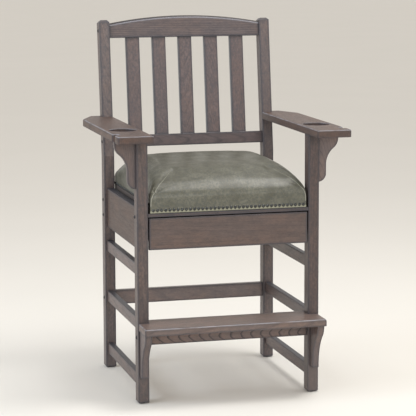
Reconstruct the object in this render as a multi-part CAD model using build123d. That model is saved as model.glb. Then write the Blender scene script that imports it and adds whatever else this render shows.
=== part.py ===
from build123d import *
import os
from math import cos, radians, sin, tan

# A tall wooden spectator armchair with a footrest and a drawer under the seat.
# Lengths are in millimetres. X is across, -Y is the front, Z is up, and the floor is Z = 0.

# Side frames and posts
frame_width = 617.0
leg_depth = 566.0
post_width = 37.0
post_depth = 44.0
post_rounding = 3.0
foot_chamfer = 2.4
glide_height = 3.0
glide_radius = 11.0
tenon_depth = 17.0
mortise_clearance = 0.1
mortise_end_gap = 1.0

# Raked back
kink_rise = 127.0
rake_angle = 7.3
post_rise = 475.0
post_bevel = 8.0
back_rail_inset = 7.0
back_rail_thickness = 30.0
lower_rail_rise = 31.0
lower_rail_height = 41.0
slat_count = 5
slat_end_gap = 59.0
slat_width = 48.0
slat_thickness = 20.0
slat_length = 341.5
slat_tenon = 14.0
slat_rounding = 3.0
crest_end_height = 50.0
crest_arch = 25.0
crest_front_rounding = 9.0
crest_back_rounding = 5.0
rail_rounding = 2.5

# Arms
arm_height = 892.0
arm_thickness = 25.0
arm_width = 117.5
front_overhang = 95.0
arm_clip_across = 44.0
arm_clip_along = 97.0
arm_corner_radius = 11.0
arm_inner_corner_radius = 4.0
arm_top_rounding = 5.0
arm_bottom_rounding = 2.0
cup_radius = 45.0
cup_depth = 12.0
cup_setback = 198.0
cup_rim_rounding = 2.0
notch_setback = 71.0
notch_width = 34.0
notch_depth = 21.0
notch_bottom_radius = 11.0
notch_mouth_radius = 9.0
corbel_reach = 70.0
corbel_height = 158.0
corbel_neck = 28.0
corbel_thickness = 20.0
corbel_setback = 12.0
corbel_rounding = 2.0

# Aprons, stretchers and seat rails
side_apron_bottom = 506.0
side_apron_height = 136.0
side_apron_thickness = 27.0
side_apron_inset = 10.0
side_apron_tenon_bottom = 24.0
side_apron_tenon_height = 66.0
stretcher_height = 39.0
stretcher_thickness = 20.5
stretcher_inset = 8.0
lower_stretcher_bottom = 52.0
middle_stretcher_bottom = 239.0
upper_stretcher_bottom = 419.0
rail_tenon_thickness = 10.0
rail_tenon_shoulder = 6.0
rear_apron_height = 110.0
rear_apron_thickness = 24.0
rear_apron_bolt_spacing = 54.0
rear_stretcher_bottom = 225.5
rear_stretcher_height = 50.0
rear_stretcher_thickness = 24.0
seat_rail_lip_height = 11.0
seat_rail_lip_depth = 22.0
seat_rail_height = 25.0

# Footrest
footrest_height = 268.0
footrest_thickness = 24.0
footrest_back_reach = 53.0
footrest_end_setback = 2.5
footrest_edge_rounding = 6.0
footrest_rounding = 2.5
footrest_rail_height = 51.0
footrest_rail_thickness = 22.0
bracket_height = 153.0
bracket_reach = 82.0
bracket_foot = 24.5
bracket_thickness = 23.0
bracket_inset = 6.0
bracket_rounding = 2.0

# Seat
seat_level = 628.0
cleat_width = 20.0
cleat_height = 16.0
cleat_end_gap = 2.0
seat_board_thickness = 36.0
seat_board_back_setback = 6.0
cushion_side_gap = 4.0
leather_wrap = 4.0
seat_clearance = 0.3
side_skirt_rise = 24.0
cushion_crown = 121.0
cushion_shoulder_radius = 82.0
cushion_arch = 20.0
cushion_draw_in = 2.5
nail_radius = 4.7
nail_height = 2.4
nail_spacing = 13.7
front_nail_rise = 11.0
side_nail_rise = 29.5
nail_end_margin = 11.0
nail_gap = 0.1

# Drawer
drawer_gap = 4.0
drawer_front_height = 104.0
drawer_front_thickness = 18.0
drawer_front_rounding = 1.5
finger_pull_width = 160.0
finger_pull_depth = 9.0
finger_pull_height = 14.0
drawer_rear_gap = 74.0
drawer_side_thickness = 12.0
drawer_side_height = 64.0
drawer_side_drop = 15.0
drawer_bottom_thickness = 5.0
drawer_bottom_rise = 7.0
drawer_groove_depth = 5.0
drawer_groove_clearance = 0.1

# Drawer slides
slide_space = 12.0
slide_height = 34.0
slide_wall = 1.2
slide_lip = 4.0
slide_depth = 9.0
slide_running_gap = 0.4
slide_end_gap = 2.0
slide_rise = 21.0
slide_member_arm = 4.8

# Bolts, nuts and screws
bolt_radius = 3.0
bolt_hole_clearance = 0.15
bolt_head_radius = 6.5
bolt_head_height = 3.5
bolt_reach = 38.0
bolt_end_room = 2.0
bolt_socket_width = 4.0
bolt_socket_depth = 2.0
nut_radius = 5.0
nut_length = 14.0
nut_setback = 30.0
nut_clearance = 0.1
screw_radius = 2.1
screw_head_radius = 4.2
screw_head_height = 2.6
screw_clearance = 0.1
seat_screw_length = 34.0
seat_screw_count = 3
front_screw_length = 24.0
front_screw_spacing = 380.0
cut_overrun = 5.0

# Places worked out from the sizes above
half_width = frame_width / 2
inner_x = half_width - post_width
rake = radians(rake_angle)
back_tip = (post_rise - post_bevel) * sin(rake) + post_depth * cos(rake)
total_depth = front_overhang + leg_depth - post_depth + back_tip
front_y = front_overhang - total_depth / 2
front_post_back_y = front_y + post_depth
rear_y = front_y + leg_depth - post_depth
rear_back_y = rear_y + post_depth
kink_height = seat_level + kink_rise
slat_pitch = (2 * inner_x - 2 * slat_end_gap - slat_width) / (slat_count - 1)
arm_bottom = arm_height - arm_thickness
arm_outer_x = inner_x + arm_width
overhang_y = front_y - front_overhang
rail_inset_y = rear_y + back_rail_inset
lower_rail_bottom = kink_height + lower_rail_rise
lower_rail_top = lower_rail_bottom + lower_rail_height
crest_bottom = lower_rail_top + slat_length
apron_x = half_width - side_apron_inset - side_apron_thickness
cushion_x = inner_x - cushion_side_gap
board_x = cushion_x - leather_wrap
board_front_y = front_y + leather_wrap
board_back_y = rear_back_y - seat_board_back_setback
drawer_x = inner_x - drawer_gap
drawer_top = seat_level - seat_rail_lip_height - drawer_gap
drawer_bottom_z = drawer_top - drawer_front_height
box_x = apron_x - slide_space
box_front_y = front_y + drawer_front_thickness
rear_apron_y = rear_y + (post_depth - rear_apron_thickness) / 2
box_back_y = rear_apron_y - drawer_rear_gap
box_top = drawer_top - drawer_side_drop
box_bottom = box_top - drawer_side_height
footrest_bottom = footrest_height - footrest_thickness

parts = {}


def block(x0, x1, y0, y1, z0, z1):
    """A box between two corners."""
    centre = Pos((x0 + x1) / 2, (y0 + y1) / 2, (z0 + z1) / 2)
    return centre * Box(x1 - x0, y1 - y0, z1 - z0)


def softened(shape, axis, radius):
    """The shape with its straight edges along one axis rounded."""
    return fillet(shape.edges().filter_by(axis), radius)


def raked(shape):
    """Leans a piece that was drawn upright back about the kink line of the rear posts."""
    kink_line = Axis((0, rear_y, kink_height), (1, 0, 0))
    return shape.rotate(kink_line, -rake_angle)


def rod_x(radius, x0, x1, y, z):
    """A round bar along X."""
    return Pos((x0 + x1) / 2, y, z) * Rot(0, 90, 0) * Cylinder(radius, x1 - x0)


def rod_y(radius, x, y0, y1, z):
    """A round bar along Y."""
    return Pos(x, (y0 + y1) / 2, z) * Rot(90, 0, 0) * Cylinder(radius, y1 - y0)


def rod_z(radius, x, y, z0, z1):
    """A round bar along Z."""
    return Pos(x, y, (z0 + z1) / 2) * Cylinder(radius, z1 - z0)


def add_pair(name, left):
    """Keeps a left piece and its mirror image as two nodes."""
    parts[name + "_left"] = left
    parts[name + "_right"] = mirror(left, Plane.YZ)


def both_sides(solids):
    """A list of left solids with their mirror images."""
    return solids + [mirror(solid, Plane.YZ) for solid in solids]


# Each side rail: bottom, height, thickness, inset from the post's outer face, tenon bottom and tenon height
side_rails = {
    "side_apron": (side_apron_bottom, side_apron_height, side_apron_thickness, side_apron_inset,
                   side_apron_tenon_bottom, side_apron_tenon_height),
}
for rail_name, rail_bottom in (
    ("upper_side_stretcher", upper_stretcher_bottom),
    ("middle_side_stretcher", middle_stretcher_bottom),
    ("lower_side_stretcher", lower_stretcher_bottom),
):
    side_rails[rail_name] = (rail_bottom, stretcher_height, stretcher_thickness, stretcher_inset,
                             rail_tenon_shoulder, stretcher_height - 2 * rail_tenon_shoulder)


def tenon_block(rail, spare, end_gap):
    """The tenon of a side rail from post to post, or its mortise when there is some spare."""
    bottom, height, thickness, inset, tenon_bottom, tenon_height = rail
    x = -half_width + inset + thickness / 2
    half = rail_tenon_thickness / 2 + spare
    z0 = bottom + tenon_bottom
    y0 = front_post_back_y - tenon_depth - end_gap
    y1 = rear_y + tenon_depth + end_gap
    return block(x - half, x + half, y0, y1, z0 - spare, z0 + tenon_height + spare)


def side_rail(rail):
    """A side apron or stretcher with a tenon at each end."""
    bottom, height, thickness, inset, _, _ = rail
    x0 = -half_width + inset
    body = block(x0, x0 + thickness, front_post_back_y, rear_y, bottom, bottom + height)
    return softened(body, Axis.Y, rail_rounding) + tenon_block(rail, 0, 0)


mortises = [tenon_block(rail, mortise_clearance, mortise_end_gap) for rail in side_rails.values()]

# Bolts: each goes through a post into a cross rail's end. (Y, Z, whether it leans with the back)
post_middle = post_depth / 2
footrest_bolt = (front_y + post_middle, footrest_bottom - footrest_rail_height / 2, False)
seat_rail_bolt = (front_y + (seat_rail_lip_depth + post_depth) / 2, seat_level - seat_rail_height / 2, False)
rear_apron_middle = seat_level - rear_apron_height / 2
rear_apron_bolts = [
    (rear_y + post_middle, rear_apron_middle + side * rear_apron_bolt_spacing / 2, False) for side in (-1, 1)
]
rear_stretcher_bolt = (rear_y + post_middle, rear_stretcher_bottom + rear_stretcher_height / 2, False)
lower_rail_bolt = (rear_y + post_middle, lower_rail_bottom + lower_rail_height / 2, True)
crest_bolt = (rear_y + post_middle, crest_bottom + crest_end_height / 2, True)
front_bolts = [footrest_bolt, seat_rail_bolt]
rear_bolts = rear_apron_bolts + [rear_stretcher_bolt, lower_rail_bolt, crest_bolt]


def placed(shape, place):
    """Leans a bolt, nut or hole if its place is in the raked back."""
    return raked(shape) if place[2] else shape


def bolt_hole(place):
    """The hole for one bolt, through the left post and into the rail."""
    radius = bolt_radius + bolt_hole_clearance
    x1 = -inner_x + bolt_reach + bolt_end_room
    return placed(rod_x(radius, -half_width - cut_overrun, x1, place[0], place[1]), place)


def bolt(place):
    """One bolt with a low domed head and a hexagon socket."""
    y, z = place[0], place[1]
    shank = rod_x(bolt_radius, -half_width, -inner_x + bolt_reach, y, z)
    dome_radius = (bolt_head_radius**2 + bolt_head_height**2) / (2 * bolt_head_height)
    dome = Pos(-half_width - bolt_head_height + dome_radius, y, z) * Sphere(dome_radius)
    head_side = block(-half_width - dome_radius, -half_width, y - dome_radius, y + dome_radius,
                      z - dome_radius, z + dome_radius)
    hexagon = RegularPolygon(bolt_socket_width / 2, 6, major_radius=False)
    head_face = Plane((-half_width - bolt_head_height, y, z), z_dir=(1, 0, 0))
    socket = extrude(head_face * hexagon, bolt_socket_depth)
    return placed((dome & head_side) + shank - socket, place)


def nut_bar(place, radius, length, along_z):
    """A round bar centred on the bolt where its barrel nut lies, across the rail."""
    x = -inner_x + nut_setback
    y, z = place[0], place[1]
    if along_z:
        return rod_z(radius, x, y, z - length / 2, z + length / 2)
    return placed(rod_y(radius, x, y - length / 2, y + length / 2, z), place)


def barrel_nut(place, along_z=False):
    """One barrel nut with its cross hole."""
    body = nut_bar(place, nut_radius, nut_length, along_z)
    return body - bolt_hole(place)


def nut_pocket(place, rail_back, along_z=False):
    """The hole for a barrel nut, open at the rail's back or underside."""
    x = -inner_x + nut_setback
    y, z = place[0], place[1]
    radius = nut_radius + nut_clearance
    if along_z:
        return rod_z(radius, x, y, rail_back - cut_overrun, z + nut_length / 2 + nut_clearance)
    return rod_y(radius, x, y - nut_length / 2 - nut_clearance, rail_back + cut_overrun, z)


def straight(place):
    """The same place as it is before the back is leaned."""
    return (place[0], place[1], False)


def drilled(rail, places, rail_back, along_z=False):
    """A cross rail, still upright, with its bolt holes and nut pockets at both ends."""
    cuts = []
    for place in places:
        cuts += both_sides([bolt_hole(straight(place)), nut_pocket(straight(place), rail_back, along_z)])
    for cut in cuts:
        rail = rail - cut
    return rail


def front_post():
    """The left front post, straight from the floor to the arm."""
    post = block(-half_width, -inner_x, front_y, front_post_back_y, glide_height, arm_bottom)
    post = softened(post, Axis.Z, post_rounding)
    post = chamfer(post.faces().sort_by(Axis.Z)[0].edges(), foot_chamfer)
    for cut in mortises + [bolt_hole(place) for place in front_bolts]:
        post = post - cut
    return post


def rear_post_blank():
    """The left rear post's bent plank: upright to the kink, then raked."""
    bend = post_depth * tan(rake / 2)
    front_top = Vector(0, rear_y, kink_height) + Vector(0, sin(rake), cos(rake)) * post_rise
    back_top = front_top + Vector(0, cos(rake), -sin(rake)) * post_depth
    outline = Polyline(
        (0, rear_y, glide_height), (0, rear_back_y, glide_height), (0, rear_back_y, kink_height - bend),
        (0, back_top.Y, back_top.Z), (0, front_top.Y, front_top.Z), (0, rear_y, kink_height), close=True,
    )
    plank = extrude(make_face(outline), post_width, dir=(1, 0, 0))
    return Pos(-half_width, 0, 0) * plank


def post_top_room():
    """The room that the left rear post stays inside: its top slopes in on all four sides."""
    side = cut_overrun
    room = block(-half_width - side, -inner_x + side, rear_y - side, rear_back_y + side, kink_height,
                 kink_height + post_rise)
    room = raked(chamfer(room.faces().sort_by(Axis.Z)[-1].edges(), post_bevel + side))
    wide = leg_depth / 2
    return room + block(-half_width - side, -inner_x + side, rear_y - wide, rear_back_y + wide, 0,
                        kink_height + post_depth)


def rear_post():
    """The left rear post with its bevelled top, rounded edges, mortises and bolt holes."""
    post = rear_post_blank()
    long_edges = post.edges().filter_by(lambda e: abs(e.tangent_at(0).X) < 0.5 and e.length > post_depth * 2)
    post = fillet(long_edges, post_rounding)
    post = chamfer(post.faces().sort_by(Axis.Z)[0].edges(), foot_chamfer)
    post = post & post_top_room()
    for cut in mortises + [bolt_hole(place) for place in rear_bolts]:
        post = post - cut
    return post


def slat_places():
    """The X of each back slat's middle."""
    first = -slat_pitch * (slat_count - 1) / 2
    return [first + slat_pitch * i for i in range(slat_count)]


slat_front_y = rail_inset_y + (back_rail_thickness - slat_thickness) / 2
slat_tenon_inset = slat_thickness / 4


def slat_tenon_block(x, spare, end_gap):
    """The tenons of one slat from rail to rail, or their mortises when there is some spare."""
    half = slat_width / 2 - slat_tenon_inset + spare
    y0 = slat_front_y + slat_tenon_inset - spare
    y1 = slat_front_y + slat_thickness - slat_tenon_inset + spare
    reach = slat_tenon + end_gap
    return block(x - half, x + half, y0, y1, lower_rail_top - reach, crest_bottom + reach)


def back_slat(x):
    """One upright slat with a tenon at each end, leaned back."""
    half = slat_width / 2
    body = block(x - half, x + half, slat_front_y, slat_front_y + slat_thickness, lower_rail_top, crest_bottom)
    return raked(softened(body, Axis.Z, slat_rounding) + slat_tenon_block(x, 0, 0))


def lower_back_rail():
    """The straight rail under the slats."""
    back = rail_inset_y + back_rail_thickness
    rail = block(-inner_x, inner_x, rail_inset_y, back, lower_rail_bottom, lower_rail_top)
    rail = softened(rail, Axis.X, rail_rounding)
    for x in slat_places():
        rail = rail - slat_tenon_block(x, mortise_clearance, mortise_end_gap)
    return raked(drilled(rail, [lower_rail_bolt], back))


def crest_rail():
    """The arched top rail, with a generous round on its top front edge."""
    end_top = crest_bottom + crest_end_height
    arch = ThreePointArc((-inner_x, 0, end_top), (0, 0, end_top + crest_arch), (inner_x, 0, end_top))
    sides = Polyline((inner_x, 0, end_top), (inner_x, 0, crest_bottom), (-inner_x, 0, crest_bottom),
                     (-inner_x, 0, end_top))
    rail = extrude(make_face([arch, sides]), back_rail_thickness, dir=(0, 1, 0))
    rail = Pos(0, rail_inset_y, 0) * rail
    arcs = rail.edges().filter_by(GeomType.CIRCLE).sort_by(Axis.Y)
    rail = fillet(arcs[0], crest_front_rounding)
    rail = fillet(rail.edges().filter_by(GeomType.CIRCLE).sort_by(Axis.Y)[-1], crest_back_rounding)
    for x in slat_places():
        rail = rail - slat_tenon_block(x, mortise_clearance, mortise_end_gap)
    return raked(drilled(rail, [crest_bolt], rail_inset_y + back_rail_thickness))


def armrest():
    """The left arm: clipped at the back, notched for a cue, with a round recess for a cup."""
    arm_back_y = raked(block(-half_width, -inner_x, rear_y, rear_back_y, arm_bottom, arm_height))
    back = arm_back_y.bounding_box().max.Y - post_rounding
    notch_y = overhang_y + notch_setback
    half = notch_width / 2
    notch_x = -arm_outer_x + notch_depth
    outline = FilletPolyline(
        (-inner_x, overhang_y), (-inner_x, back), (-arm_outer_x + arm_clip_across, back),
        (-arm_outer_x, back - arm_clip_along), (-arm_outer_x, notch_y + half), (notch_x, notch_y + half),
        (notch_x, notch_y - half), (-arm_outer_x, notch_y - half), (-arm_outer_x, overhang_y),
        radius=[arm_inner_corner_radius, 0, arm_corner_radius, arm_corner_radius, notch_mouth_radius,
                notch_bottom_radius, notch_bottom_radius, notch_mouth_radius, arm_corner_radius],
        close=True,
    )
    arm = extrude(Pos(0, 0, arm_bottom) * make_face(outline), arm_thickness)
    arm = fillet(arm.faces().sort_by(Axis.Z)[-1].edges(), arm_top_rounding)
    arm = fillet(arm.faces().sort_by(Axis.Z)[0].edges(), arm_bottom_rounding)
    cup = rod_z(cup_radius, -inner_x - arm_width / 2, overhang_y + cup_setback, arm_height - cup_depth,
                arm_height + cut_overrun)
    arm = arm - cup
    rim = arm.faces().filter_by(GeomType.CYLINDER).edges().filter_by(GeomType.CIRCLE)
    rim = rim.filter_by(lambda e: abs(e.radius - cup_radius) < cup_rim_rounding and e.center().Z > arm_bottom)
    arm = fillet(rim.sort_by(Axis.Z)[-1], cup_rim_rounding)
    return arm - rear_post_blank()


# Shares of a bracket's height, from the top down: where its S-curve starts and ends, and where its heel starts
arm_corbel_curve_shares = (0.082, 0.633)
corbel_heel_share = 0.823
footrest_bracket_curve_share = 0.913
# How far along the S-curve it turns from convex to hollow
arm_corbel_turn_share = 0.377
footrest_bracket_turn_share = 0.28


def s_curve(start, end, turn_share):
    """Two arcs that leave and arrive upright, and meet smoothly on the straight line between the ends."""
    turn = start + (end - start) * turn_share
    return [TangentArc(start, turn, tangent=(0, 0, -1)), TangentArc(end, turn, tangent=(0, 0, 1))]


def outer_edges(shape, axis, is_outer):
    """The edges of a bracket's two flat faces that pass a test, which leaves out the glued ones."""
    faces = shape.faces().sort_by(axis)
    return [e for face in (faces[0], faces[-1]) for e in face.edges() if is_outer(e.center())]


def arm_corbel():
    """The S-shaped bracket under the left arm, on the outer side of the front post."""
    def at(reach, drop_share):
        return Vector(-half_width - reach, 0, arm_bottom - drop_share * corbel_height)

    start_share, end_share = arm_corbel_curve_shares
    lip, neck = at(corbel_reach, start_share), at(corbel_neck, end_share)
    heel, heel_end = at(corbel_neck, corbel_heel_share), at(0, 1)
    edges = [
        Line(at(0, 0), at(corbel_reach, 0)), Line(at(corbel_reach, 0), lip),
        *s_curve(lip, neck, arm_corbel_turn_share), Line(neck, heel),
        TangentArc(heel, heel_end, tangent=(0, 0, -1)), Line(heel_end, at(0, 0)),
    ]
    bracket = extrude(make_face(edges), corbel_thickness, dir=(0, 1, 0))
    bracket = Pos(0, front_y + corbel_setback, 0) * bracket
    rim = outer_edges(bracket, Axis.Y, lambda c: c.X < -half_width - corbel_rounding
                      and c.Z < arm_bottom - corbel_rounding)
    return fillet(rim, corbel_rounding)


def footrest_bracket():
    """The left S-shaped bracket on the front post, under the footrest board."""
    def at(reach, drop_share):
        return Vector(0, front_y - reach, footrest_bottom - drop_share * bracket_height)

    neck = at(bracket_foot, footrest_bracket_curve_share)
    edges = [
        Line(at(0, 0), at(bracket_reach, 0)), *s_curve(at(bracket_reach, 0), neck, footrest_bracket_turn_share),
        Line(neck, at(bracket_foot, 1)), Line(at(bracket_foot, 1), at(0, 1)), Line(at(0, 1), at(0, 0)),
    ]
    bracket = extrude(make_face(edges), bracket_thickness, dir=(1, 0, 0))
    bracket = Pos(-half_width + bracket_inset, 0, 0) * bracket
    low = footrest_bottom - bracket_height
    rim = outer_edges(bracket, Axis.X, lambda c: c.Y < front_y - bracket_foot / 2 - bracket_rounding
                      and low + bracket_rounding < c.Z < footrest_bottom - bracket_rounding)
    return fillet(rim, bracket_rounding)


def footrest_board():
    """The footrest board: full width before the posts, narrower between them."""
    x = half_width - footrest_end_setback
    front = block(-x, x, overhang_y, front_y, footrest_bottom, footrest_height)
    front = fillet(front.edges().filter_by(Axis.Z).group_by(Axis.Y)[0], footrest_rounding)
    top_front = front.edges().filter_by(Axis.X).group_by(Axis.Z)[-1].sort_by(Axis.Y)[0]
    front = fillet(top_front, footrest_edge_rounding)
    low_front = front.edges().filter_by(Axis.X).group_by(Axis.Z)[0].sort_by(Axis.Y)[0]
    front = fillet(low_front, footrest_rounding)
    back = block(-inner_x, inner_x, front_y, front_y + footrest_back_reach, footrest_bottom, footrest_height)
    return front + back


def front_seat_rail():
    """The rail under the cushion's front: a thin lip over the drawer front, deeper behind it."""
    lip_back = front_y + seat_rail_lip_depth
    underside = seat_level - seat_rail_height
    lip = block(-inner_x, inner_x, front_y, lip_back, seat_level - seat_rail_lip_height, seat_level)
    body = block(-inner_x, inner_x, lip_back, front_post_back_y, underside, seat_level)
    return drilled(lip + body, [seat_rail_bolt], underside, True)


def cross_rail(y0, thickness, bottom, height, places):
    """A straight rail between the posts, bolted at both ends."""
    rail = block(-inner_x, inner_x, y0, y0 + thickness, bottom, bottom + height)
    return drilled(softened(rail, Axis.X, rail_rounding), places, y0 + thickness)


def cleat_y_range():
    """The front and back ends of the cleats along the side aprons."""
    return front_post_back_y + cleat_end_gap, rear_y - cleat_end_gap


def seat_screw_places():
    """Where screws go up through the left cleat into the seat board."""
    y0, y1 = cleat_y_range()
    x = -(inner_x - cleat_width + board_x) / 2
    return [(x, y0 + (y1 - y0) * (i + 1) / (seat_screw_count + 1)) for i in range(seat_screw_count)]


def screw_cutter(x, y, head_z, length, spare):
    """A countersunk wood screw that points up, or its hole when there is some spare."""
    shank = rod_z(screw_radius + spare, x, y, head_z, head_z + length + spare)
    head = Pos(x, y, head_z + screw_head_height / 2) * Cone(
        screw_head_radius + spare, screw_radius + spare, screw_head_height)
    return head + shank


def seat_cleat():
    """The left strip glued inside the apron, on which the seat board rests."""
    y0, y1 = cleat_y_range()
    cleat = block(-apron_x, -apron_x + cleat_width, y0, y1, seat_level - cleat_height, seat_level)
    for x, y in seat_screw_places():
        cleat = cleat - screw_cutter(x, y, seat_level - cleat_height, seat_screw_length, screw_clearance)
    return cleat


def seat_board():
    """The board under the cushion, screwed down to the cleats."""
    board = block(-board_x, board_x, board_front_y, board_back_y, seat_level, seat_level + seat_board_thickness)
    holes = [screw_cutter(x, y, seat_level - cleat_height, seat_screw_length, screw_clearance)
             for x, y in seat_screw_places()]
    for hole in both_sides(holes):
        board = board - hole
    return board


# Cushion stations from front to back: shares of the depth, the crown, the shoulder radius and the arch
cushion_station_shares = (
    (0.0, 0.39, 0.25, 0.35), (0.022, 0.56, 0.34, 0.60), (0.063, 0.70, 0.52, 0.55), (0.143, 0.83, 0.74, 0.45),
    (0.287, 0.945, 0.92, 0.32), (0.50, 1.0, 1.0, 0.25), (0.717, 0.99, 1.0, 0.25), (0.833, 0.925, 0.93, 0.25),
    (0.932, 0.79, 0.76, 0.27), (1.0, 0.53, 0.40, 0.30),
)


def cushion_section(y, crown, radius, arch):
    """One upright slice of the cushion: flat sides, round shoulders and a slightly arched top."""
    x = cushion_x - cushion_draw_in
    base = seat_level + side_skirt_rise
    top = base + crown - arch
    turn = radius * (1 - cos(radians(45)))
    right = [(x, y, base), (x, y, top - radius), (x - turn, y, top - turn), (x - radius, y, top)]
    left = [(-point[0], y, point[2]) for point in right]
    edges = [
        Line(left[0], right[0]), Line(right[0], right[1]), ThreePointArc(right[1], right[2], right[3]),
        ThreePointArc(right[3], (0, y, top + arch), left[3]), ThreePointArc(left[3], left[2], left[1]),
        Line(left[1], left[0]),
    ]
    return make_face(edges)


def cushion_crown_solid():
    """The cushion above the seat board's lower edge, lofted from the front face to the back face."""
    depth = board_back_y + leather_wrap - front_y
    slices = [
        cushion_section(front_y + depth * place, cushion_crown * crown, cushion_shoulder_radius * radius,
                        cushion_arch * arch)
        for place, crown, radius, arch in cushion_station_shares
    ]
    return loft(slices)


def seat_cushion():
    """The crowned leather cushion, with a skirt that wraps the seat board's edges."""
    x = cushion_x - cushion_draw_in
    apron = block(-x, x, front_y, board_front_y, seat_level + seat_clearance, seat_level + side_skirt_rise)
    gap = seat_clearance
    board_room = block(-board_x - gap, board_x + gap, board_front_y - gap, board_back_y + gap,
                       seat_level - cut_overrun, seat_level + seat_board_thickness + gap)
    return cushion_crown_solid() + apron - board_room


def nail(x, y, z, turn):
    """One domed nail head. Turn 0 faces the front, and 90 or -90 faces a side."""
    dome_radius = (nail_radius**2 + nail_height**2) / (2 * nail_height)
    dome = Pos(0, 0, nail_height - dome_radius) * Sphere(dome_radius)
    keep = Pos(0, 0, dome_radius / 2) * Box(2 * dome_radius, 2 * dome_radius, dome_radius)
    return Pos(x, y, z) * Rot(0, 0, turn) * Rot(90, 0, 0) * (dome & keep)


def nail_row(length):
    """Evenly spaced places along a row, centred on zero."""
    count = int(length / nail_spacing) + 1
    step = length / (count - 1)
    return [-length / 2 + step * i for i in range(count)]


def nailhead_trim():
    """The row of nail heads along the cushion's front and its two sides."""
    side_x = cushion_x - cushion_draw_in
    front_z = seat_level + front_nail_rise
    side_z = seat_level + side_nail_rise
    front = [nail(x, front_y - nail_gap, front_z, 0) for x in nail_row(2 * (side_x - nail_end_margin))]
    middle_y = (front_y + board_back_y) / 2
    run = board_back_y - front_y - 2 * nail_end_margin
    left = [nail(-side_x - nail_gap, middle_y + y, side_z, -90) for y in nail_row(run)]
    return front + both_sides(left)


def front_screw_places():
    """Where screws join the drawer's inner front to its face panel."""
    z = (box_bottom + box_top) / 2
    return [(x, z) for x in (-front_screw_spacing / 2, front_screw_spacing / 2)]


def front_screw(x, z, spare):
    """A screw that points forward from the drawer's inner front, or its hole when there is some spare."""
    head_y = box_front_y + drawer_side_thickness
    turned = Pos(x, head_y, z) * Rot(90, 0, 0)
    return turned * screw_cutter(0, 0, 0, front_screw_length, spare)


def drawer_front():
    """The face panel, with a finger pull hollowed behind its bottom edge."""
    panel = block(-drawer_x, drawer_x, front_y, box_front_y, drawer_bottom_z, drawer_top)
    panel = fillet(panel.faces().sort_by(Axis.Y)[0].edges(), drawer_front_rounding)
    half = finger_pull_width / 2
    pull = block(-half, half, box_front_y - finger_pull_depth, box_front_y + cut_overrun,
                 drawer_bottom_z - cut_overrun, drawer_bottom_z + finger_pull_height)
    panel = panel - pull
    for x, z in front_screw_places():
        panel = panel - front_screw(x, z, screw_clearance)
    return panel


def bottom_panel(spare):
    """The drawer's bottom, or the grooves for it when there is some spare."""
    x = box_x - drawer_side_thickness + drawer_groove_depth + spare
    y0 = box_front_y + drawer_side_thickness - drawer_groove_depth - spare
    y1 = box_back_y - drawer_side_thickness + drawer_groove_depth + spare
    z0 = box_bottom + drawer_bottom_rise
    return block(-x, x, y0, y1, z0 - spare, z0 + drawer_bottom_thickness + spare)


def add_drawer():
    """The drawer's sides, inner front, back and bottom."""
    groove = bottom_panel(drawer_groove_clearance)
    inner = box_x - drawer_side_thickness
    side = block(-box_x, -inner, box_front_y, box_back_y, box_bottom, box_top)
    add_pair("drawer_side", side - groove)
    back_y = box_back_y - drawer_side_thickness
    parts["drawer_back"] = block(-inner, inner, back_y, box_back_y, box_bottom, box_top) - groove
    subfront_back_y = box_front_y + drawer_side_thickness
    subfront = block(-inner, inner, box_front_y, subfront_back_y, box_bottom, box_top) - groove
    for x, z in front_screw_places():
        subfront = subfront - front_screw(x, z, screw_clearance)
    parts["drawer_inner_front"] = subfront
    parts["drawer_bottom"] = bottom_panel(0)
    parts["drawer_front"] = drawer_front()
    parts["drawer_front_screws"] = [front_screw(x, z, 0) for x, z in front_screw_places()]


def profile_bars(x_spans, length, y0, z_middle):
    """Bars along Y that share a symmetric section: each span is (x0, x1, low, high) above the middle."""
    bars = None
    for x0, x1, low, high in x_spans:
        for side in ((1,) if low < 0 else (1, -1)):
            z0, z1 = sorted((z_middle + side * low, z_middle + side * high))
            bar = block(x0, x1, y0, y0 + length, z0, z1)
            bars = bar if bars is None else bars + bar
    return bars


def add_slides():
    """Two-part steel slides: a channel on each side apron and a member on each drawer side."""
    middle = box_bottom + slide_rise
    y0 = box_front_y + slide_end_gap
    slide_length = box_back_y - slide_end_gap - y0
    half = slide_height / 2
    wall = slide_wall
    web = -apron_x + wall
    lip_x = -apron_x + slide_depth
    channel = profile_bars(
        [(-apron_x, web, -half, half), (web, lip_x, half - wall, half),
         (lip_x - wall, lip_x, half - slide_lip, half)],
        slide_length, y0, middle)
    add_pair("drawer_slide_channel", channel)
    gap = slide_running_gap
    mouth = half - slide_lip - gap
    out = lip_x - wall - gap
    member = profile_bars(
        [(-box_x - wall, -box_x, -mouth, mouth), (out - wall, -box_x - wall, mouth - wall, mouth),
         (out - wall, out, mouth - wall, half - wall - gap)],
        slide_length, y0, middle)
    add_pair("drawer_slide_member", member)


def add_frame():
    """The posts, side rails, cross rails and back."""
    add_pair("front_post", front_post())
    add_pair("rear_post", rear_post())
    for name, rail in side_rails.items():
        add_pair(name, side_rail(rail))
    parts["rear_apron"] = cross_rail(rear_apron_y, rear_apron_thickness, seat_level - rear_apron_height,
                                     rear_apron_height, rear_apron_bolts)
    stretcher_y = rear_y + (post_depth - rear_stretcher_thickness) / 2
    parts["rear_stretcher"] = cross_rail(stretcher_y, rear_stretcher_thickness, rear_stretcher_bottom,
                                         rear_stretcher_height, [rear_stretcher_bolt])
    footrest_rail_y = front_y + (post_depth - footrest_rail_thickness) / 2
    footrest_rail_bottom = footrest_bottom - footrest_rail_height
    parts["footrest_rail"] = cross_rail(footrest_rail_y, footrest_rail_thickness, footrest_rail_bottom,
                                        footrest_rail_height, [footrest_bolt])
    parts["front_seat_rail"] = front_seat_rail()
    parts["lower_back_rail"] = lower_back_rail()
    parts["crest_rail"] = crest_rail()
    for i, x in enumerate(slat_places()):
        parts["back_slat_%d" % (i + 1)] = back_slat(x)


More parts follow.
